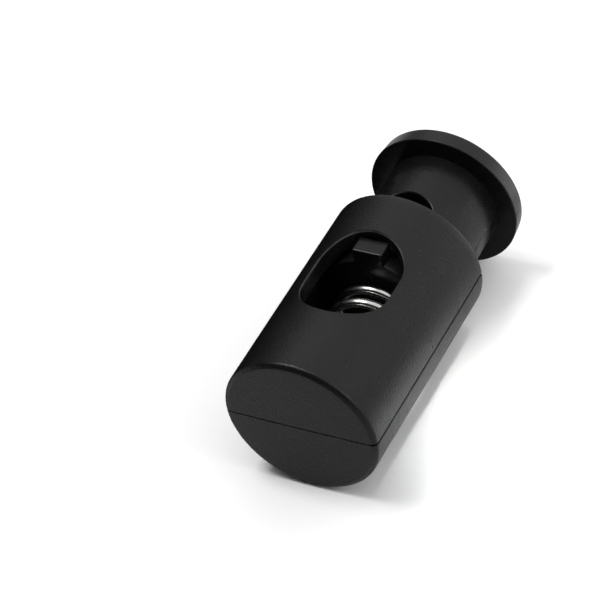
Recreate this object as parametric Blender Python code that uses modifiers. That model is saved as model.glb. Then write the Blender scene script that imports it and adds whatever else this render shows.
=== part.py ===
"""A push-button cord lock: barrel, plunger and return spring.

Every piece is laid out along the lock's own axis, which starts at the closed end of the barrel and runs to the
button. The lock lies along +Y with its cord slots facing up and down, and its origin is the middle of the passage
that the cord goes through.
"""

import math

import bmesh
import bpy
from mathutils import Matrix

# Barrel
BARREL_DIAMETER = 0.0150
BARREL_LENGTH = 0.0231
BARREL_WALL = 0.00165
END_THICKNESS = 0.0016
END_CROWN = 0.00005
END_LAND_DIAMETER = 0.0060
END_EDGE_RADIUS = 0.0006
RIM_EDGE = 0.00015

# Cord slot through both walls of the barrel
SLOT_WIDTH = 0.00825
SLOT_LENGTH = 0.01065
SLOT_FROM_END = 0.0076

# Plunger, whose flange is a hair smaller than the barrel
FLANGE_SETBACK = 0.00005
FLANGE_THICKNESS = 0.00185
FLANGE_EDGE_RADIUS = 0.0002
NECK_FILLET = 0.0003
BUTTON_STAND_OUT = 0.0079
CROSS_HOLE_WIDTH = 0.0058
CROSS_HOLE_LENGTH = 0.0074
CROSS_HOLE_PAST_SLOT = 0.0003
BARB_WIDTH = 0.0030
BARB_LENGTH = 0.0016
BARB_BELOW_BARREL_SKIN = 0.00075
BARB_LEAD_IN = 0.0002

# Return spring
WIRE_DIAMETER = 0.0009
COIL_DIAMETER = 0.0072
ACTIVE_TURNS = 5.3
CLOSED_TURNS = 1.0
SPOT_HEIGHT = 0.0010
SPOT_CHAMFER = 0.0003
SPRING_START_ANGLE = math.radians(356)

# Clearances
SLIDE_CLEARANCE = 0.0003
SEAT_CLEARANCE = 0.0003
WIRE_CLEARANCE = 0.00003
SPRING_SEAT_CLEARANCE = 0.0001

# How finely round shapes are divided
ROUND_STEPS = 64
SLOT_STEPS = 48
CORNER_STEPS = 3
CROWN_STEPS = 3
COIL_STEPS = 20
MERGE_DISTANCE = 0.00001

# What follows from the sizes above
BARREL_RADIUS = BARREL_DIAMETER / 2
BORE_RADIUS = BARREL_RADIUS - BARREL_WALL
STEM_RADIUS = BORE_RADIUS - SLIDE_CLEARANCE
FLANGE_RADIUS = BARREL_RADIUS - FLANGE_SETBACK
FLANGE_UNDERSIDE = BARREL_LENGTH + BUTTON_STAND_OUT
SLOT_MIDDLE = SLOT_FROM_END + SLOT_LENGTH / 2
SLOT_TOP = SLOT_FROM_END + SLOT_LENGTH
SLOT_RADIUS = SLOT_WIDTH / 2
SLOT_TOP_BESIDE_BARB = SLOT_TOP - SLOT_RADIUS + math.sqrt(SLOT_RADIUS**2 - (BARB_WIDTH / 2) ** 2)
STEM_FOOT = SLOT_TOP_BESIDE_BARB - SEAT_CLEARANCE - BARB_LENGTH
STEM_LENGTH = FLANGE_UNDERSIDE - STEM_FOOT
CROSS_HOLE_MIDDLE = SLOT_TOP + CROSS_HOLE_PAST_SLOT + CROSS_HOLE_LENGTH / 2
WIRE_RADIUS = WIRE_DIAMETER / 2
COIL_RADIUS = COIL_DIAMETER / 2
SPOT_RADIUS = COIL_RADIUS - WIRE_RADIUS - SLIDE_CLEARANCE


def arc(centre, radius, start, end, steps):
    """Points in the profile plane on an arc, from one angle in degrees to another."""
    angles = [math.radians(start + (end - start) * i / steps) for i in range(steps + 1)]
    return [(centre[0] + radius * math.cos(a), centre[1] + radius * math.sin(a)) for a in angles]


def surface(name, colour, roughness, metallic=0.0):
    material = bpy.data.materials.new(name)
    material.use_nodes = True
    shader = material.node_tree.nodes["Principled BSDF"]
    shader.inputs["Base Color"].default_value = (*colour, 1.0)
    shader.inputs["Roughness"].default_value = roughness
    shader.inputs["Metallic"].default_value = metallic
    return material


def collection(name):
    made = bpy.data.collections.new(name)
    bpy.context.scene.collection.children.link(made)
    return made


def lock_axis(parent_collection):
    """An empty at the closed end, whose +Z is the lock's axis, laid along the world's +Y."""
    empty = bpy.data.objects.new("lock_axis", None)
    parent_collection.objects.link(empty)
    empty.location = (0.0, -SLOT_MIDDLE, 0.0)
    empty.rotation_euler = (-math.pi / 2, 0.0, 0.0)
    return empty


def place(name, mesh, parent, target, height=0.0):
    """Links a mesh under the lock's axis, with its origin on that axis."""
    thing = bpy.data.objects.new(name, mesh)
    target.objects.link(thing)
    thing.parent = parent
    thing.location = (0.0, 0.0, height)
    return thing


def mesh_from(name, shape):
    mesh = bpy.data.meshes.new(name)
    shape.to_mesh(mesh)
    shape.free()
    return mesh


def turned(name, profile, parent, target, height=0.0):
    """A solid of revolution. The profile goes down its outer side; a facet, not an edge, faces each cord slot."""
    shape = bmesh.new()
    points = [shape.verts.new((r, 0.0, z)) for r, z in profile]
    for first, second in zip(points, points[1:]):
        shape.edges.new((first, second))
    thing = place(name, mesh_from(name, shape), parent, target, height)
    thing.rotation_euler = (0.0, 0.0, math.pi / ROUND_STEPS)
    screw = thing.modifiers.new("turn", "SCREW")
    screw.steps = ROUND_STEPS
    screw.render_steps = ROUND_STEPS
    screw.use_merge_vertices = True
    screw.merge_threshold = MERGE_DISTANCE
    return thing


def oblong_cutter(name, width, length, middle, parent, target):
    """A prism with round ends that cuts right through the lock, long along its axis."""
    shape = bmesh.new()
    bmesh.ops.create_circle(shape, cap_ends=True, segments=SLOT_STEPS, radius=width / 2)
    half_step = Matrix.Rotation(math.pi / SLOT_STEPS, 4, "Z")
    bmesh.ops.transform(shape, matrix=half_step, verts=shape.verts)
    straight = (length - width) / 2
    for point in shape.verts:
        point.co.y += math.copysign(straight, point.co.y)
    bmesh.ops.translate(shape, vec=(0.0, 0.0, -BARREL_DIAMETER), verts=shape.verts)
    grown = bmesh.ops.extrude_face_region(shape, geom=shape.faces[:])
    far_side = [item for item in grown["geom"] if isinstance(item, bmesh.types.BMVert)]
    bmesh.ops.translate(shape, vec=(0.0, 0.0, 2 * BARREL_DIAMETER), verts=far_side)
    bmesh.ops.recalc_face_normals(shape, faces=shape.faces)
    cutter = place(name, mesh_from(name, shape), parent, target, middle)
    cutter.rotation_euler = (math.pi / 2, 0.0, 0.0)
    cutter.hide_render = True
    cutter.display_type = "WIRE"
    return cutter


def combine(thing, other, operation):
    boolean = thing.modifiers.new(operation.lower() + " " + other.name, "BOOLEAN")
    boolean.object = other
    boolean.operation = operation


def finish(thing, material):
    """Turns the modifiers into the mesh, then shades it smooth between its sharp edges."""
    bpy.context.view_layer.update()
    evaluated = thing.evaluated_get(bpy.context.evaluated_depsgraph_get())
    mesh = bpy.data.meshes.new_from_object(evaluated)
    thing.modifiers.clear()
    thing.data = mesh
    mesh.name = thing.name
    mesh.shade_smooth()
    mesh.set_sharp_from_angle(angle=math.radians(30))
    mesh.materials.clear()
    mesh.materials.append(material)


def spot(floor, up):
    """Profile points of the round stub that centres the spring on a floor, from the axis outwards."""
    top = floor + up * SPOT_HEIGHT
    shoulder = floor + up * (SPOT_HEIGHT - SPOT_CHAMFER)
    return [(0.0, top), (SPOT_RADIUS - SPOT_CHAMFER, top), (SPOT_RADIUS, shoulder), (SPOT_RADIUS, floor)]


def closed_end():
    """The outside of the closed end, from its rounded edge to the flat land in its middle."""
    edge_start = BARREL_RADIUS - END_EDGE_RADIUS
    corner = arc((edge_start, END_CROWN + END_EDGE_RADIUS), END_EDGE_RADIUS, 0, -90, CORNER_STEPS)
    land = END_LAND_DIAMETER / 2
    crown = []
    for i in range(1, CROWN_STEPS):
        share = 1 - i / CROWN_STEPS
        crown.append((land + (edge_start - land) * share, END_CROWN * share**2))
    return corner + crown + [(land, 0.0), (0.0, 0.0)]


def make_barrel(axis, parts, cutters):
    bore = [(BORE_RADIUS, END_THICKNESS), (BORE_RADIUS, BARREL_LENGTH)]
    rim = [(BARREL_RADIUS - RIM_EDGE, BARREL_LENGTH), (BARREL_RADIUS, BARREL_LENGTH - RIM_EDGE)]
    profile = spot(END_THICKNESS, 1) + bore + rim + closed_end()
    barrel = turned("barrel", profile, axis, parts)
    slot = oblong_cutter("cord_slot", SLOT_WIDTH, SLOT_LENGTH, SLOT_MIDDLE, axis, cutters)
    combine(barrel, slot, "DIFFERENCE")
    finish(barrel, surface("black_plastic_barrel", (0.018, 0.018, 0.019), 0.45))
    return barrel


def plunger_profile():
    """Runs from the middle of the button's face, over the flange and down the stem, to the foot."""
    rounding = FLANGE_EDGE_RADIUS
    edge = FLANGE_RADIUS - rounding
    upper = arc((edge, FLANGE_THICKNESS - rounding), rounding, 90, 0, CORNER_STEPS)
    lower = arc((edge, rounding), rounding, 0, -90, CORNER_STEPS)
    neck = arc((STEM_RADIUS + NECK_FILLET, -NECK_FILLET), NECK_FILLET, 90, 180, CORNER_STEPS)
    foot = [(STEM_RADIUS, -STEM_LENGTH)]
    stub = list(reversed(spot(-STEM_LENGTH, -1)))
    return [(0.0, FLANGE_THICKNESS)] + upper + lower + neck + foot + stub


def make_barbs(axis, cutters):
    """A bar across the foot of the stem, whose ends stand out of it as the two snap barbs.

    Each end's upper face stops just short of the round end of the cord slot, and its lower edge is bevelled.
    """
    reach = BARREL_RADIUS - BARB_BELOW_BARREL_SKIN
    shape = bmesh.new()
    bmesh.ops.create_cube(shape, size=1.0)
    bmesh.ops.scale(shape, vec=(BARB_WIDTH, 2 * reach, BARB_LENGTH), verts=shape.verts)
    bmesh.ops.translate(shape, vec=(0.0, 0.0, BARB_LENGTH / 2), verts=shape.verts)
    lead_edges = []
    for edge in shape.edges:
        low = all(point.co.z < BARB_LENGTH / 2 for point in edge.verts)
        across = edge.verts[0].co.y * edge.verts[1].co.y > 0
        side = edge.verts[0].co.x * edge.verts[1].co.x < 0
        if low and across and side:
            lead_edges.append(edge)
    bmesh.ops.bevel(shape, geom=lead_edges, offset=BARB_LEAD_IN, segments=CORNER_STEPS, profile=0.5, affect="EDGES")
    bar = place("barb_bar", mesh_from("barb_bar", shape), axis, cutters, STEM_FOOT)
    bar.hide_render = True
    bar.display_type = "WIRE"
    return bar


def make_plunger(axis, parts, cutters):
    plunger = turned("plunger", plunger_profile(), axis, parts, FLANGE_UNDERSIDE)
    hole = oblong_cutter("cross_hole", CROSS_HOLE_WIDTH, CROSS_HOLE_LENGTH, CROSS_HOLE_MIDDLE, axis, cutters)
    combine(plunger, hole, "DIFFERENCE")
    combine(plunger, make_barbs(axis, cutters), "UNION")
    finish(plunger, surface("black_plastic_plunger", (0.015, 0.015, 0.016), 0.42))
    return plunger


def coil_points():
    """The middle line of the wire from the floor to the stem's foot, right-handed, with a closed turn at each end."""
    low = END_THICKNESS + SPRING_SEAT_CLEARANCE + WIRE_RADIUS
    high = STEM_FOOT - SPRING_SEAT_CLEARANCE - WIRE_RADIUS
    closed_pitch = WIRE_DIAMETER + WIRE_CLEARANCE
    closed_rise = CLOSED_TURNS * closed_pitch
    active_pitch = (high - low - 2 * closed_rise) / ACTIVE_TURNS
    turns = ACTIVE_TURNS + 2 * CLOSED_TURNS
    count = round(turns * COIL_STEPS)
    points = []
    for i in range(count + 1):
        turn = turns * i / count
        lower = min(turn, CLOSED_TURNS)
        middle = min(max(turn - CLOSED_TURNS, 0.0), ACTIVE_TURNS)
        upper = max(turn - CLOSED_TURNS - ACTIVE_TURNS, 0.0)
        height = low + (lower + upper) * closed_pitch + middle * active_pitch
        angle = SPRING_START_ANGLE + 2 * math.pi * turn
        points.append((COIL_RADIUS * math.cos(angle), COIL_RADIUS * math.sin(angle), height))
    return points


def make_spring(axis, parts):
    curve = bpy.data.curves.new("return_spring", "CURVE")
    curve.dimensions = "3D"
    curve.bevel_depth = WIRE_RADIUS
    curve.bevel_resolution = 2
    curve.use_fill_caps = True
    points = coil_points()
    wire = curve.splines.new("POLY")
    wire.points.add(len(points) - 1)
    for point, place_on_wire in zip(wire.points, points):
        point.co = (*place_on_wire, 1.0)
    curve.materials.append(surface("spring_steel", (0.72, 0.72, 0.70), 0.22, 1.0))
    return place("return_spring", curve, axis, parts)


def main():
    for thing in list(bpy.context.scene.objects):
        bpy.data.objects.remove(thing, do_unlink=True)
    parts = collection("cord_lock")
    cutters = collection("cutters")
    axis = lock_axis(parts)
    make_barrel(axis, parts, cutters)
    make_plunger(axis, parts, cutters)
    make_spring(axis, parts)


main()
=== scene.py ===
import math

import bmesh
import bpy
from mathutils import Euler, Matrix, Vector, noise


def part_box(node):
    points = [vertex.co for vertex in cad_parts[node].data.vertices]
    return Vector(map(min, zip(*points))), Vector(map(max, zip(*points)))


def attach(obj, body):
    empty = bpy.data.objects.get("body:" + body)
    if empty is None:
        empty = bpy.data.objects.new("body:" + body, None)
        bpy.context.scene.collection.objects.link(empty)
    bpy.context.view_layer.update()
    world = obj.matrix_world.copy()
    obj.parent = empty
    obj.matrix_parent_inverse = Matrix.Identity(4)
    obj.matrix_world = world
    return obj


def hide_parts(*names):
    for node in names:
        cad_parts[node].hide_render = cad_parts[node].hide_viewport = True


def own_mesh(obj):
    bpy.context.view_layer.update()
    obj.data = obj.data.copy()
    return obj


# A push-button cord lock: a round barrel with an oblong cord slot, a plunger with a cross hole, and its
# return spring. The lock's axis is Y, from the closed end to the button; the cord slots face up and down.

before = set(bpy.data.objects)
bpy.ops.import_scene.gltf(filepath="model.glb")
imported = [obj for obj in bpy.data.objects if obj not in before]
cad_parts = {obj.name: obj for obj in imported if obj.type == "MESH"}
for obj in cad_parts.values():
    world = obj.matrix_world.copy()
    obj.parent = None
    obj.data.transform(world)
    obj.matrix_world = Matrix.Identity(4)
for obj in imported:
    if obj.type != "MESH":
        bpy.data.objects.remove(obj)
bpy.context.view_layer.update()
mm = 0.001
weld = 0.00001 * mm  # points this near are on one line
join = 0.0001 * mm  # points this near become one
skinDepth = 0.01 * mm  # points less deep than this lie on a round skin
sharpAngle = math.radians(35)
cornerAngle = math.radians(40)  # edges sharper than this can be rounded
partingUneven = 0.45  # share by which the parting groove is deeper in some places than in others
print("frame loaded:", ", ".join(sorted(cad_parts)))


# working with open rings of edges
def pointsOf(edges):
    return list({point for edge in edges for point in edge.verts})


def openEdges(shape, test):
    return [edge for edge in shape.edges if edge.is_boundary and all(test(point.co) for point in edge.verts)]


def growRing(shape, edges):
    grown = bmesh.ops.extrude_edge_only(shape, edges=edges)["geom"]
    points = {item for item in grown if isinstance(item, bmesh.types.BMVert)}
    edges = [item for item in grown if isinstance(item, bmesh.types.BMEdge)]
    return [edge for edge in edges if set(edge.verts) <= points]


def arc(centre, radius, start, end, steps):
    angles = [math.radians(start + (end - start) * i / steps) for i in range(steps + 1)]
    return [(centre[0] + radius * math.cos(a), centre[1] + radius * math.sin(a)) for a in angles]


def turnOn(shape, edges, profile):
    # carries a ring on round the lock's axis; a profile point is a radius and a place along the axis
    for radius, along in profile:
        edges = growRing(shape, edges)
        for point in pointsOf(edges):
            outward = Vector((point.co.x, 0.0, point.co.z)).normalized()
            point.co = outward * radius
            point.co.y = along
    return edges


def spread(stops, counts):
    # places between the stops, with the given number of steps in each stretch
    places = [stops[0]]
    for low, high, count in zip(stops, stops[1:], counts):
        places += [low + (high - low) * (i + 1) / count for i in range(count)]
    return places


def flatSheet(columns, rows):
    # the upper half of a tube, laid out flat: x is the angle from the top, y the place along the axis
    shape = bmesh.new()
    across, along = len(columns) - 1, len(rows) - 1
    bmesh.ops.create_grid(shape, x_segments=across, y_segments=along, size=1.0)
    for point in shape.verts:
        column = round((point.co.x + 1) / 2 * across)
        row = round((point.co.y + 1) / 2 * along)
        point.co = (columns[column], rows[row], 0.0)
    return shape


def cutWindow(shape, window):
    # takes a rectangle of faces out of a flat sheet, and notes where the points of its rim started
    home = shape.verts.layers.float_vector.get("home") or shape.verts.layers.float_vector.new("home")
    turn, low, high = window["turn"] + weld, window["low"] - weld, window["high"] + weld
    taken = [face for face in shape.faces
             if all(abs(point.co.x) < turn and low < point.co.y < high for point in face.verts)]
    bmesh.ops.delete(shape, geom=taken, context="FACES")
    rim = openEdges(shape, lambda place: abs(place.x) < turn and low < place.y < high)
    for point in pointsOf(rim):
        point[home] = point.co
    return rim


def shapeRing(shape, ring, window, radius, hole, share, height=0.0):
    # moves a ring from the window's rim towards an oblong hole that goes straight down through the tube
    home = shape.verts.layers.float_vector["home"]
    middle = (window["low"] + window["high"]) / 2
    for point in pointsOf(ring):
        start = Vector(point[home])
        u = start.x / window["turn"]
        v = (start.y - middle) / (window["high"] - middle)
        if abs(u) >= abs(v):
            turn = math.radians(45 * v if u > 0 else 180 - 45 * v)
        else:
            turn = math.radians(90 - 45 * u if v > 0 else 45 * u - 90)
        across = hole["width"] / 2 * math.cos(turn)
        along = hole["width"] / 2 * math.sin(turn)
        if abs(along) > weld:
            along += math.copysign((hole["length"] - hole["width"]) / 2, along)
        goal = Vector((math.asin(across / radius), hole["middle"] + along, height))
        point.co = start.lerp(goal, share)


def closeIn(shape, window, radius, hole, rings):
    ring = cutWindow(shape, window)
    for i in range(rings):
        ring = growRing(shape, ring)
        shapeRing(shape, ring, window, radius, hole, math.sin(math.pi / 2 * (i + 1) / rings))
    return ring


def wrapRound(shape, radius):
    for point in shape.verts:
        turn, along, height = point.co
        point.co = ((radius + height) * math.sin(turn), along, (radius + height) * math.cos(turn))


def absorb(shape, other):
    mesh = bpy.data.meshes.new("inner")
    other.to_mesh(mesh)
    other.free()
    shape.from_mesh(mesh)
    bpy.data.meshes.remove(mesh)


def mirrorDown(shape):
    everything = shape.verts[:] + shape.edges[:] + shape.faces[:]
    bmesh.ops.mirror(shape, geom=everything, axis="Z", merge_dist=weld)
    bmesh.ops.remove_doubles(shape, verts=shape.verts, dist=join)
    bmesh.ops.recalc_face_normals(shape, faces=shape.faces)


def roundEdges(shape, width, segments, test):
    sharp = [edge for edge in shape.edges
             if len(edge.link_faces) == 2 and edge.is_convex
             and edge.calc_face_angle() > cornerAngle
             and test((edge.verts[0].co + edge.verts[1].co) / 2)]
    bmesh.ops.bevel(shape, geom=sharp, offset=width, affect="EDGES", segments=segments, profile=0.5,
                    material=-1, clamp_overlap=False)


def markPaintedHighlight(shape, amountAt):
    # notes how strongly each point gets a painted highlight, a light line along lit lips
    paintedHighlightShare = shape.verts.layers.float.new("paintedHighlightShare")
    for point in shape.verts:
        point[paintedHighlightShare] = amountAt(point.co)


def scoreParting(shape, width, depthAt):
    # the fine groove where the two halves of the mould met, deeper in some places than in others
    for side in (-1, 1):
        everything = shape.verts[:] + shape.edges[:] + shape.faces[:]
        bmesh.ops.bisect_plane(shape, geom=everything, dist=join,
                               plane_co=(0, 0, side * width / 2), plane_no=(0, 0, 1))
    shape.normal_update()
    for point in shape.verts:
        if abs(point.co.z) < weld:
            uneven = 1 + partingUneven * noise.noise(point.co / mm)
            point.co -= point.normal * depthAt(point.co) * uneven


def pieceFrom(shape, name, material, body, node):
    mesh = bpy.data.meshes.new(name)
    shape.to_mesh(mesh)
    shape.free()
    mesh.shade_smooth()
    mesh.set_sharp_from_angle(angle=sharpAngle)
    mesh.materials.append(material)
    piece = bpy.data.objects.new(name, mesh)
    bpy.context.scene.collection.objects.link(piece)
    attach(piece, body)
    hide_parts(node)
    print(name, "made:", len(mesh.polygons), "faces")
    return piece


# materials
def newMaterial(name):
    material = bpy.data.materials.new(name)
    material.use_nodes = True
    return material, material.node_tree, material.node_tree.nodes["Principled BSDF"]


def addNode(tree, kind, inputs=None, **settings):
    node = tree.nodes.new("ShaderNode" + kind)
    for setting, value in settings.items():
        setattr(node, setting, value)
    for socket, value in (inputs or {}).items():
        if isinstance(value, bpy.types.NodeSocket):
            tree.links.new(value, node.inputs[socket])
        else:
            node.inputs[socket].default_value = value
    return node


def toneBetween(tree, value, look, low, high):
    tone = addNode(tree, "ValToRGB", {"Fac": value})
    for element, position, colour in zip(tone.color_ramp.elements, (low, high), ("dark", "light")):
        element.position = position
        element.color = (*look[colour], 1.0)
    return tone.outputs["Color"]


def glossBetween(tree, value, look):
    gloss = addNode(tree, "MapRange", {"Value": value, "From Min": 0.3, "From Max": 0.7,
                                       "To Min": look["smooth"], "To Max": look["rough"]})
    return gloss.outputs["Result"]


def addBump(tree, shader, height, look):
    bump = addNode(tree, "Bump", {"Height": height, "Strength": look["bump"],
                                  "Distance": look["bumpHeight"]})
    tree.links.new(bump.outputs["Normal"], shader.inputs["Normal"])


def mouldedPlastic(name, look):
    material, tree, shader = newMaterial(name)
    place = addNode(tree, "TexCoord").outputs["Object"]
    grain = addNode(tree, "TexNoise", {"Vector": place, "Scale": look["grain"],
                                       "Detail": 3.0, "Roughness": 0.65})
    cloud = addNode(tree, "TexNoise", {"Vector": place, "Scale": look["cloud"],
                                       "Detail": 4.0, "Roughness": 0.6})
    rub = addNode(tree, "TexNoise", {"Vector": place, "Scale": look["rub"],
                                     "Detail": 5.0, "Roughness": 0.7})
    mottle = addNode(tree, "Mix", {"Factor": look["mottle"],
                                   "A": cloud.outputs["Fac"], "B": grain.outputs["Fac"]})
    tone = toneBetween(tree, mottle.outputs["Result"], look, 0.35, 0.65)
    # painted highlight: along the marked lips a light colour is mixed in, broken up by noise
    edge = addNode(tree, "Attribute", attribute_name="paintedHighlightShare")
    highlightBreakup = addNode(tree, "MapRange", {"Value": rub.outputs["Fac"], "From Min": 0.3, "From Max": 0.6,
                                       "To Min": 0.4, "To Max": 1.0})
    lipHighlightMask = addNode(tree, "Math", {0: edge.outputs["Fac"], 1: highlightBreakup.outputs["Result"]},
                   operation="MULTIPLY")
    lipHighlight = addNode(tree, "Mix", {"Factor": lipHighlightMask.outputs[0], 6: tone, 7: (*look["lipHighlight"], 1.0)},
                   data_type="RGBA")
    cells = addNode(tree, "TexVoronoi", {"Vector": place, "Scale": look["dust"]})
    chosen = addNode(tree, "Math", {0: cells.outputs["Color"], 1: look["dustFree"]},
                     operation="GREATER_THAN")
    grit = addNode(tree, "MapRange", {"Value": cells.outputs["Distance"], "From Min": look["dustSize"],
                                      "From Max": look["dustSize"] / 2})
    speck = addNode(tree, "Math", {0: chosen.outputs[0], 1: grit.outputs["Result"]},
                    operation="MULTIPLY")
    dusty = addNode(tree, "Mix", {"Factor": speck.outputs[0], 6: lipHighlight.outputs[2],
                                  7: (*look["dustColour"], 1.0)},
                    data_type="RGBA")
    tree.links.new(dusty.outputs[2], shader.inputs["Base Color"])
    finish = glossBetween(tree, rub.outputs["Fac"], look)
    if "matt" in look:
        # the points of a piece that are marked matt have a roughness of their own
        rim = addNode(tree, "Attribute", attribute_name="matt")
        finish = addNode(tree, "Mix", {"Factor": rim.outputs["Fac"], "A": finish,
                                       "B": look["matt"]}).outputs["Result"]
    tree.links.new(finish, shader.inputs["Roughness"])
    addBump(tree, shader, grain.outputs["Fac"], look)
    shader.inputs["Specular IOR Level"].default_value = look["specular"]
    return material


def springSteel(name, look):
    material, tree, shader = newMaterial(name)
    place = addNode(tree, "TexCoord").outputs["Object"]
    cloud = addNode(tree, "TexNoise", {"Vector": place, "Scale": look["cloud"], "Detail": 4.0})
    tone = toneBetween(tree, cloud.outputs["Fac"], look, 0.3, 0.7)
    tree.links.new(tone, shader.inputs["Base Color"])
    tree.links.new(glossBetween(tree, cloud.outputs["Fac"], look), shader.inputs["Roughness"])
    drawn = addNode(tree, "TexNoise", {"Vector": place, "Scale": look["drawn"], "Detail": 2.0})
    addBump(tree, shader, drawn.outputs["Fac"], look)
    shader.inputs["Metallic"].default_value = 1.0
    return material


# the barrel
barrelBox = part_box("barrel")
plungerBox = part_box("plunger")
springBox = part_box("return_spring")
lockRadius = barrelBox[1].x

barrel = {
    "wall": 1.65 * mm,
    "endThickness": 1.6 * mm,
    "crown": 0.05 * mm,
    "land": 3.0 * mm,
    "endRounding": 0.38 * mm,
    "endSlope": 54,
    "endSlopeWidth": 0.3 * mm,
    "endInnerRounding": 0.15 * mm,
    "endRows": 6,
    "crownSteps": 7,
    "rimRounding": 0.15 * mm,
    "rimRows": 4,
    "boreRounding": 0.1 * mm,
    "slot": {"width": 8.25 * mm, "length": 10.65 * mm, "middle": 0.0},
    "slotRounding": 0.38 * mm,
    "slotInnerRounding": 0.12 * mm,
    "slotRings": 7,
    "boreSlotRings": 3,
    # the next depth is how far into the slot's lips a highlight is painted
    "paintedLipDepth": 0.22 * mm,
    "windowTurn": math.radians(58),
    "windowMargin": 1.7 * mm,
    "windowSteps": 32,
    "sideSteps": 9,
    "seamWidth": 0.28 * mm,
    "seamDepth": 0.4 * mm,
    "seamEndShare": 0.6,
    "spotRadius": 2.5 * mm,
    "spotHeight": 1.0 * mm,
    "spotChamfer": 0.3 * mm,
}
boreRadius = lockRadius - barrel["wall"]


def spotProfile(floor, up):
    # the round stub that keeps the spring in the middle
    radius, chamfer = barrel["spotRadius"], barrel["spotChamfer"]
    top = floor + up * barrel["spotHeight"]
    return [(radius, floor), (radius, top - up * chamfer), (radius - chamfer, top), (0.0, top)]


def tubeWall(radius, low, high, rings):
    slot = barrel["slot"]
    reach = slot["length"] / 2 + barrel["windowMargin"]
    window = {"turn": barrel["windowTurn"], "low": -reach, "high": reach}
    quarter = math.pi / 2
    columns = spread([-quarter, -window["turn"], window["turn"], quarter],
                     [barrel["sideSteps"], barrel["windowSteps"], barrel["sideSteps"]])
    rows = spread([low, window["low"], window["high"], high],
                  [barrel["endRows"], barrel["windowSteps"], barrel["rimRows"]])
    shape = flatSheet(columns, rows)
    ring = closeIn(shape, window, radius, slot, rings)
    wrapRound(shape, radius)
    return shape, ring


def isRing(radius, along):
    # a test for points on one ring round the axis
    near = 0.001 * mm
    return lambda place: abs(place.y - along) < near and abs(math.hypot(place.x, place.z) - radius) < near


def endEdge(end):
    # the edge of the closed end: a rounding, a short slope and a smaller rounding that ends on the end
    slope, width = math.radians(barrel["endSlope"]), barrel["endSlopeWidth"]
    first, second = barrel["endRounding"], barrel["endInnerRounding"]
    innerY = end + second
    innerX = lockRadius - first + (first - second) * math.cos(slope) - width * math.sin(slope)
    outerY = innerY + (first - second) * math.sin(slope) + width * math.cos(slope)
    outer = arc((lockRadius - first, outerY), first, 0, -barrel["endSlope"], 5)
    inner = arc((innerX, innerY), second, -barrel["endSlope"], -90, 3)
    return outer + inner


def makeBarrel():
    closedEnd, rim = barrelBox[0].y, barrelBox[1].y
    lip, bore = barrel["rimRounding"], barrel["boreRounding"]
    floor = closedEnd + barrel["endThickness"]
    around = endEdge(closedEnd + barrel["crown"])
    sideStart = around[0][1]
    shape, slotRing = tubeWall(lockRadius, sideStart, rim - lip, barrel["slotRings"])
    slotRing = growRing(shape, slotRing)
    for point in pointsOf(slotRing):
        point.co.z = math.sqrt(boreRadius**2 - point.co.x**2)
    edge, land = around[-1][0], barrel["land"]
    crown = []
    for i in range(barrel["crownSteps"]):
        share = 1 - (i + 1) / barrel["crownSteps"]
        crown.append((land + (edge - land) * share, closedEnd + barrel["crown"] * share**2))
    end = around[1:] + crown + [(0.0, closedEnd)]
    turnOn(shape, openEdges(shape, isRing(lockRadius, sideStart)), end)
    outer = arc((lockRadius - lip, rim - lip), lip, 0, 90, 3)[1:]
    inner = arc((boreRadius + bore, rim - bore), bore, 90, 180, 3)
    turnOn(shape, openEdges(shape, isRing(lockRadius, rim - lip)), outer + inner)
    lining = tubeWall(boreRadius, floor, rim - bore, barrel["boreSlotRings"])[0]
    turnOn(lining, openEdges(lining, isRing(boreRadius, floor)), spotProfile(floor, 1))
    absorb(shape, lining)
    mirrorDown(shape)

    def atSlot(radius):
        return lambda place: (abs(math.hypot(place.x, place.z) - radius) < 0.1 * mm
                              and abs(place.x) < barrel["slot"]["width"] / 2 + weld
                              and abs(place.y) < barrel["slot"]["length"] / 2 + weld)

    roundEdges(shape, barrel["slotRounding"], 5, atSlot(lockRadius))
    roundEdges(shape, barrel["slotInnerRounding"], 2, atSlot(boreRadius))

    def slotHighlightShare(place):
        # painted highlight along the slot's lips: full on the right lip and the one nearer the button, half
        # on the others
        length = barrel["slot"]["length"]
        deep = lockRadius - math.hypot(place.x, place.z)
        near = max(abs(place.x), abs(place.y)) <= length / 2 + mm
        if not near or not skinDepth < deep < barrel["paintedLipDepth"]:
            return 0.0
        return 1.0 if place.x > 0 or place.y > length / 3 else 0.5

    markPaintedHighlight(shape, slotHighlightShare)
    halfWall = (lockRadius + boreRadius) / 2

    def seamDepthAt(place):
        if place.y < floor - barrel["endThickness"] / 2 and abs(place.x) < edge + weld:
            return barrel["seamDepth"] * barrel["seamEndShare"]
        return barrel["seamDepth"] if math.hypot(place.x, place.z) > halfWall else 0.0

    scoreParting(shape, barrel["seamWidth"], seamDepthAt)
    for point in shape.verts:
        beside = abs(abs(point.co.z) - barrel["seamWidth"] / 2) < weld
        if beside and abs(point.co.x) < edge and point.co.y < floor:
            point.co.z *= barrel["seamEndShare"]
    return shape


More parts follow.
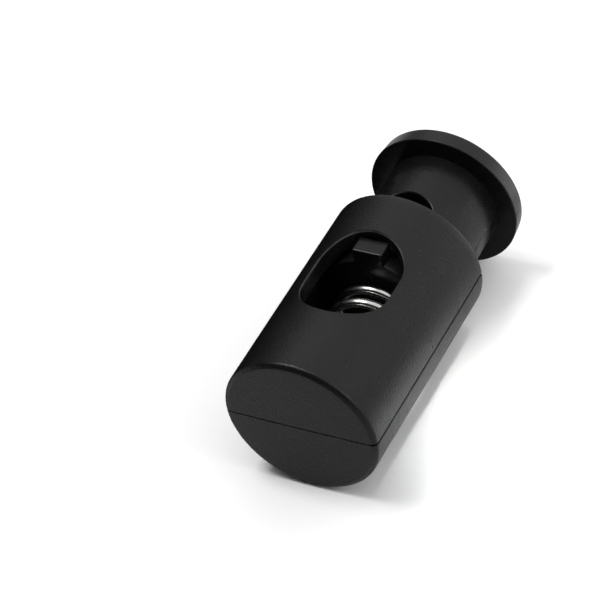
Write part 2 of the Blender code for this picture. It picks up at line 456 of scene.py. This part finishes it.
# the plunger
plunger = {
    "slide": 0.3 * mm,
    "flangeThickness": 1.85 * mm,
    "undersideRounding": 0.12 * mm,
    "faceRounding": 0.3 * mm,
    "rimDraft": 0.14 * mm,
    "hole": {"width": 5.8 * mm, "length": 7.4 * mm, "middle": 9.325 * mm},
    "holeRounding": 0.22 * mm,
    "holeMargin": 0.6 * mm,
    "holeSteps": 32,
    "holeRings": 5,
    "sideSteps": 12,
    # the next depth is how far into the cross hole's lips a highlight is painted
    "paintedLipDepth": 0.1 * mm,
    "barbWidth": 3.0 * mm,
    "barbLength": 1.85 * mm,
    "barbBelowSkin": 0.75 * mm,
    "barbSteps": 5,
    "barbRounding": 0.15 * mm,
    "barbLeadIn": 0.2 * mm,
    "mark": {"width": 2.1 * mm, "length": 2.1 * mm, "middle": 15.4 * mm},
    "markMargin": 0.15 * mm,
    "markLine": 0.08 * mm,
    "markDepth": 0.004 * mm,
    "markRings": 2,
    "seamWidth": 0.08 * mm,
    "seamDepth": 0.03 * mm,
}
stemRadius = boreRadius - plunger["slide"]


def makePlunger():
    foot = plungerBox[0].y + barrel["spotHeight"]
    face = plungerBox[1].y
    underside = face - plunger["flangeThickness"]
    under, over = plunger["undersideRounding"], plunger["faceRounding"]
    flangeRadius = plungerBox[1].x
    hole, mark = plunger["hole"], plunger["mark"]
    step = math.asin(plunger["barbWidth"] / 2 / stemRadius) / plunger["barbSteps"]
    sides = plunger["holeSteps"]
    reach = hole["length"] / 2 + plunger["holeMargin"]
    window = {"turn": step * sides / 2, "low": hole["middle"] - reach, "high": hole["middle"] + reach}
    markReach = mark["length"] / 2 + plunger["markMargin"]
    markWindow = {"turn": step * plunger["barbSteps"], "low": mark["middle"] - markReach,
                  "high": mark["middle"] + markReach}
    quarter = math.pi / 2
    columns = spread([-quarter, -window["turn"], window["turn"], quarter],
                     [plunger["sideSteps"], sides, plunger["sideSteps"]])
    barbEnd = foot + plunger["barbLength"]
    barbTop = lockRadius - plunger["barbBelowSkin"]
    rows = spread([foot, barbEnd, window["low"], window["high"], markWindow["low"],
                   markWindow["high"], underside],
                  [4, 1, sides, 3, 2 * plunger["barbSteps"], 2])
    shape = flatSheet(columns, rows)
    ring = closeIn(shape, window, stemRadius, hole, plunger["holeRings"])
    line = plunger["markLine"]
    markRing = closeIn(shape, markWindow, stemRadius, mark, plunger["markRings"])
    size, half = mark["width"], mark["width"] / 2
    for inset, height in ((line / 2, -plunger["markDepth"]), (line, 0.0), (half / 2, 0.0), (half, 0.0)):
        markRing = growRing(shape, markRing)
        left = size - 2 * inset
        shapeRing(shape, markRing, markWindow, stemRadius,
                  {"width": left, "length": left, "middle": mark["middle"]}, 1.0, height)
    middles = [(face, face.calc_center_median()) for face in shape.faces]
    base = [face for face, middle in middles if abs(middle.x) < markWindow["turn"] and middle.y < barbEnd]
    raised = bmesh.ops.extrude_face_region(shape, geom=base)["geom"]
    bmesh.ops.delete(shape, geom=base, context="FACES")
    wrapRound(shape, stemRadius)
    for item in raised:
        if isinstance(item, bmesh.types.BMVert):
            item.co.z = barbTop
    ring = growRing(shape, ring)
    for point in pointsOf(ring):
        point.co.z = 0.0
    lower = arc((flangeRadius - under, underside + under), under, -90, 0, 3)
    upper = arc((flangeRadius - plunger["rimDraft"] - over, face - over), over, 0, 90, 5)
    button = [(flangeRadius * share, face) for share in (0.75, 0.5, 0.25, 0.0)]
    turnOn(shape, openEdges(shape, isRing(stemRadius, underside)), lower + upper + button)
    turnOn(shape, openEdges(shape, isRing(stemRadius, foot)), spotProfile(foot, -1))
    mirrorDown(shape)
    roundEdges(shape, plunger["barbLeadIn"], 5,
               lambda place: abs(abs(place.z) - barbTop) < weld and abs(place.y - foot) < weld)
    roundEdges(shape, plunger["barbRounding"], 3,
               lambda place: (place.y < barbEnd + weld
                              and math.hypot(place.x, place.z) > barrel["spotRadius"] + mm))
    roundEdges(shape, plunger["holeRounding"], 4,
               lambda place: (window["low"] < place.y < window["high"]
                              and abs(place.x) < hole["width"] / 2 + weld
                              and math.hypot(place.x, place.z) > stemRadius - 0.1 * mm))

    # painted highlight at half strength along the cross hole's lips
    def holeHighlightShare(place):
        deep = stemRadius - math.hypot(place.x, place.z)
        beside = window["low"] < place.y < window["high"] and abs(place.z) > stemRadius / 2
        return 0.5 if beside and skinDepth < deep < plunger["paintedLipDepth"] else 0.0

    def seamDepthAt(place):
        skin = math.hypot(place.x, place.z) > stemRadius - skinDepth
        return plunger["seamDepth"] if skin and foot + mm < place.y < underside - mm else 0.0

    markPaintedHighlight(shape, holeHighlightShare)
    scoreParting(shape, plunger["seamWidth"], seamDepthAt)
    matt = shape.verts.layers.float.new("matt")
    for point in shape.verts:
        if math.hypot(point.co.x, point.co.z) > flangeRadius - under and point.co.y > underside:
            point[matt] = 1.0
    return shape


# the return spring
spring = {
    "wire": 0.9 * mm,
    "coil": 7.2 * mm,
    "turns": 7.3,
    "closedTurns": 0.75,
    "easeTurns": 0.2,
    "wireGap": 0.03 * mm,
    "startTurn": math.radians(356),
    "stepsPerTurn": 48,
    "wireSides": 16,
    "hangsOff": (0.45 * mm, 0.0, -0.4 * mm),
}


def makeSpring():
    wire = spring["wire"]
    low = springBox[0].y + wire / 2
    high = springBox[1].y - wire / 2
    closedPitch = wire + spring["wireGap"]
    ends = 2 * (spring["closedTurns"] + spring["easeTurns"] / 2)
    pitch = (high - low - ends * closedPitch) / (spring["turns"] - ends)
    easePitch = (pitch + closedPitch) / 2
    openTurns = spring["turns"] - 2 * (spring["closedTurns"] + spring["easeTurns"])
    closed, ease = (spring["closedTurns"], closedPitch), (spring["easeTurns"], easePitch)
    shape = bmesh.new()
    bmesh.ops.create_circle(shape, cap_ends=False, segments=spring["wireSides"], radius=wire / 2)
    outwards = Matrix.Translation((spring["coil"] / 2, low, 0.0))
    place = Matrix.Rotation(spring["startTurn"], 4, "Y") @ outwards
    bmesh.ops.transform(shape, matrix=place, verts=shape.verts)
    last = shape.edges[:]
    firstEnd = shape.edges[:]
    for turns, rise in (closed, ease, (openTurns, pitch), ease, closed):
        steps = round(turns * spring["stepsPerTurn"])
        made = bmesh.ops.spin(shape, geom=last, axis=(0, 1, 0), cent=(0, 0, 0), steps=steps,
                              angle=2 * math.pi * turns, dvec=(0, rise * turns / steps, 0))
        last = [item for item in made["geom_last"] if isinstance(item, bmesh.types.BMEdge)]
    bmesh.ops.contextual_create(shape, geom=firstEnd)
    bmesh.ops.contextual_create(shape, geom=last)
    bmesh.ops.translate(shape, vec=spring["hangsOff"], verts=shape.verts)
    bmesh.ops.recalc_face_normals(shape, faces=shape.faces)
    return shape


blackBarrel = {
    # the 0.13 grey is a painted highlight along the lips
    "dark": (0.0038, 0.0038, 0.0040), "light": (0.0072, 0.0072, 0.0075), "lipHighlight": (0.13, 0.13, 0.13),
    "grain": 4600.0, "cloud": 160.0, "mottle": 0.6, "rub": 700.0, "smooth": 0.26, "rough": 0.35,
    "bump": 1.0, "bumpHeight": 0.043 * mm, "specular": 0.25,
    "dust": 900.0, "dustFree": 0.75, "dustSize": 0.06, "dustColour": (0.06, 0.06, 0.06),
}
blackPlunger = {
    # the 0.13 grey is a painted highlight along the lips
    "dark": (0.0036, 0.0036, 0.0038), "light": (0.0068, 0.0068, 0.0071), "lipHighlight": (0.13, 0.13, 0.13),
    "grain": 3800.0, "cloud": 180.0, "mottle": 0.6, "rub": 800.0, "smooth": 0.25, "rough": 0.34,
    "matt": 0.34,
    "bump": 0.8, "bumpHeight": 0.014 * mm, "specular": 0.25,
    "dust": 800.0, "dustFree": 0.6, "dustSize": 0.07, "dustColour": (0.12, 0.12, 0.12),
}
brightSteel = {
    "dark": (0.50, 0.50, 0.49), "light": (0.66, 0.66, 0.65), "cloud": 900.0, "smooth": 0.16, "rough": 0.25,
    "drawn": 9000.0, "bump": 0.08, "bumpHeight": 0.004 * mm,
}

barrelPiece = pieceFrom(makeBarrel(), "barrelMoulding",
                        mouldedPlastic("blackBarrelPlastic", blackBarrel),
                        "barrel", "barrel")
plungerPiece = pieceFrom(makePlunger(), "plungerMoulding",
                         mouldedPlastic("blackPlungerPlastic", blackPlunger),
                         "plunger", "plunger")
for moulding in (barrelPiece, plungerPiece):
    even = moulding.modifiers.new("evenNormals", "WEIGHTED_NORMAL")
    even.keep_sharp = True
springPiece = pieceFrom(makeSpring(), "returnSpring", springSteel("brightSpringSteel", brightSteel),
                        "barrel", "return_spring")
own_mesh(springPiece)


# floor, light and camera
studio = {
    "floorSize": 1.2,
    "floorColour": (1.0, 1.0, 1.0),
    "floorMirrored": (0.62, 0.62, 0.62),
    "roughness": 0.9,
    "sky": 1.05,
    "front": {"span": (-0.55, -0.3), "levels": (0.02, 1.0)},
    "left": {"span": (-0.75, -0.35), "levels": (0.1, 1.0)},
    "right": {"span": (0.6, 0.82), "levels": (1.0, 0.8)},
    "overheadBox": {"from": (-0.36, -0.05, 0.92), "size": 0.15, "distance": 0.45, "power": 1.05},
    "sideBox": {"from": (0.83, -0.03, 0.56), "size": 0.14, "distance": 0.45, "power": 0.32},
    "floorSpot": {"at": (17 * mm, 1 * mm, barrelBox[0].z), "from": (0.2, 0.1, 1.0), "size": 0.014,
                  "distance": 0.1, "power": 0.0016, "spread": 13},
    "board": {"away": 36 * mm, "left": 2 * mm, "right": 27 * mm, "top": 9 * mm, "level": 1.7,
              "colour": (0.8, 0.8, 0.8)},
    "roll": {"away": 15.1 * mm, "low": -12.0 * mm, "high": 20.7 * mm, "colour": (0.003, 0.003, 0.003)},
}


def makeFloor():
    shape = bmesh.new()
    bmesh.ops.create_grid(shape, x_segments=1, y_segments=1, size=studio["floorSize"] / 2)
    bmesh.ops.translate(shape, vec=(0.0, 0.0, barrelBox[0].z), verts=shape.verts)
    piece = stageFrom(shape, "floor", studio["floorColour"])
    tree = piece.data.materials[0].node_tree
    seen = addNode(tree, "LightPath").outputs["Is Camera Ray"]
    tone = addNode(tree, "Mix", {"Factor": seen, 6: (*studio["floorMirrored"], 1.0),
                                 7: (*studio["floorColour"], 1.0)},
                   data_type="RGBA")
    tree.links.new(tone.outputs[2], tree.nodes["Principled BSDF"].inputs["Base Color"])


def makeRoll():
    # a roll of black card that the camera doesn't see, for the lock's left flank to mirror
    roll = studio["roll"]
    middle = (-roll["away"], (roll["high"] + roll["low"]) / 2, 0.0)
    shape = bmesh.new()
    bmesh.ops.create_cone(shape, cap_ends=True, segments=48, radius1=lockRadius, radius2=lockRadius,
                          depth=roll["high"] - roll["low"])
    lying = Matrix.Rotation(math.radians(90), 3, "X")
    bmesh.ops.rotate(shape, cent=(0, 0, 0), matrix=lying, verts=shape.verts)
    bmesh.ops.translate(shape, vec=middle, verts=shape.verts)
    piece = stageFrom(shape, "roll", roll["colour"])
    shader = piece.data.materials[0].node_tree.nodes["Principled BSDF"]
    shader.inputs["Specular IOR Level"].default_value = 0.0
    piece.visible_camera = False
    piece.visible_diffuse = False
    piece.visible_shadow = False


def makeBoard():
    # a lit white board behind the lock, out of the camera's sight, for the button's rim to mirror
    board = studio["board"]
    left, right, low, high = board["left"], board["right"], barrelBox[0].z, board["top"]
    shape = bmesh.new()
    corners = [(x, board["away"], z) for x, z in ((left, low), (right, low), (right, high), (left, high))]
    shape.faces.new([shape.verts.new(corner) for corner in corners])
    piece = stageFrom(shape, "board", board["colour"])
    shader = piece.data.materials[0].node_tree.nodes["Principled BSDF"]
    shader.inputs["Emission Color"].default_value = (1.0, 1.0, 1.0, 1.0)
    shader.inputs["Emission Strength"].default_value = board["level"]
    piece.visible_camera = False
    piece.visible_shadow = False


def stageFrom(shape, name, colour):
    mesh = bpy.data.meshes.new(name)
    shape.to_mesh(mesh)
    shape.free()
    material, _, shader = newMaterial(name)
    shader.inputs["Base Color"].default_value = (*colour, 1.0)
    shader.inputs["Roughness"].default_value = studio["roughness"]
    mesh.materials.append(material)
    piece = bpy.data.objects.new(name, mesh)
    bpy.context.scene.collection.objects.link(piece)
    return piece


def eased(tree, value, change):
    (start, stop), (low, high) = change["span"], change["levels"]
    node = addNode(tree, "MapRange", {"Value": value, "From Min": start, "From Max": stop,
                                      "To Min": low, "To Max": high},
                   interpolation_type="SMOOTHSTEP")
    return node.outputs["Result"]


def makeLight():
    # a sky that is white to the camera; to the lock it is dim in front and on the left, and a little dimmer
    # on the right
    world = bpy.data.worlds.new("studio")
    world.use_nodes = True
    tree = world.node_tree
    toward = addNode(tree, "SeparateXYZ", {0: addNode(tree, "TexCoord").outputs["Generated"]})
    level = studio["sky"]
    for axis, change in (("Y", "front"), ("X", "left"), ("X", "right")):
        share = eased(tree, toward.outputs[axis], studio[change])
        level = addNode(tree, "Math", {0: share, 1: level}, operation="MULTIPLY").outputs[0]
    seen = addNode(tree, "LightPath").outputs["Is Camera Ray"]
    shown = addNode(tree, "Mix", {"Factor": seen, "A": level, "B": 1.0})
    sky = tree.nodes["Background"]
    sky.inputs["Color"].default_value = (1.0, 1.0, 1.0, 1.0)
    tree.links.new(shown.outputs["Result"], sky.inputs["Strength"])
    bpy.context.scene.world = world
    for name in ("overheadBox", "sideBox"):
        makeLamp(name, studio[name])
    # this one brightens the floor beside the barrel, which its right flank mirrors
    spot = makeLamp("floorSpot", studio["floorSpot"])
    spot.data.spread = math.radians(studio["floorSpot"]["spread"])
    spot.visible_glossy = False
    spot.visible_camera = False


def makeLamp(name, box):
    data = bpy.data.lights.new(name, "AREA")
    data.size = box["size"]
    data.energy = box["power"]
    lamp = bpy.data.objects.new(name, data)
    bpy.context.scene.collection.objects.link(lamp)
    aim = Vector(box["from"]).normalized()
    lamp.location = Vector(box.get("at", (0.0, 0.0, 0.0))) + aim * box["distance"]
    lamp.rotation_mode = "QUATERNION"
    lamp.rotation_quaternion = aim.to_track_quat("Z", "Y")
    return lamp


view = {
    "azimuth": 34.09,
    "elevation": 42.54,
    "roll": -11.77,
    "lens": 194.5,
    "distance": 296.6 * mm,
    "aim": (-7.2 * mm, 1.93 * mm, 0.0),
}


def makeCamera():
    data = bpy.data.cameras.new("camera")
    data.lens = view["lens"]
    data.clip_start = 0.01
    camera = bpy.data.objects.new("camera", data)
    bpy.context.scene.collection.objects.link(camera)
    tilt, turn = math.radians(90 - view["elevation"]), math.radians(view["azimuth"])
    upright = Euler((tilt, 0.0, turn)).to_matrix()
    turned = upright @ Matrix.Rotation(math.radians(view["roll"]), 3, "Z")
    eye = Vector(view["aim"]) + turned.col[2] * view["distance"]
    camera.matrix_world = Matrix.LocRotScale(eye, turned, None)
    bpy.context.scene.camera = camera


makeFloor()
makeRoll()
makeBoard()
makeLight()
makeCamera()
bpy.context.scene.view_settings.view_transform = "Standard"
print("floor, light and camera in place")
